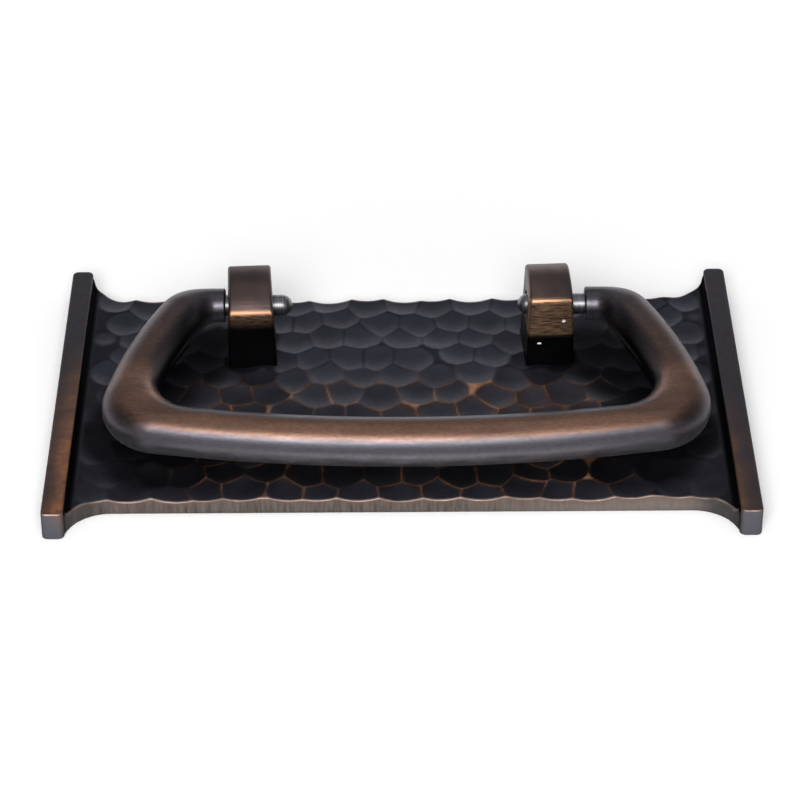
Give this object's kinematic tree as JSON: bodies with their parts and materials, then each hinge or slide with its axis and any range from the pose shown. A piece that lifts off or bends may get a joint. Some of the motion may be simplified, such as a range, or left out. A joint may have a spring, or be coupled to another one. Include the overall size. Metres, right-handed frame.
{
  "type": "bail pull",
  "caption": "Drop pull for a drawer or cabinet door: a thick bail swings on pins in block posts over a hammered bronze backplate with raised end rails.",
  "frame": {"origin": "centre of the backplate's flat back", "axes": "+X along the plate's length, +Y towards the posts' edge (up on an upright drawer front), +Z out of the plate towards the user"},
  "size_m": [0.145, 0.0884, 0.0217],
  "materials": {
    "plate_bronze": "hammered, oil-rubbed dark bronze with copper rubbed through on the ridges",
    "post_bronze": "satin oil-rubbed bronze, ground bright at the front shoulder",
    "bail_bronze": "satin oil-rubbed bronze with copper rubbed through on the grip",
    "pin_steel": "turned steel, darkened"
  },
  "bodies": {
    "plate": {"backplate": "plate_bronze", "post_left": "post_bronze", "post_right": "post_bronze"},
    "bail": {"bail": "bail_bronze", "pivot_pin_left": "pin_steel", "pivot_pin_right": "pin_steel"}
  },
  "joints": [
    {"name": "bail_swing", "type": "hinge", "parent": "plate", "child": "bail", "pos_m": [0, 0.0186, 0.0141], "axis": [-1, 0, 0], "range_deg": [0, 196]}
  ]
}
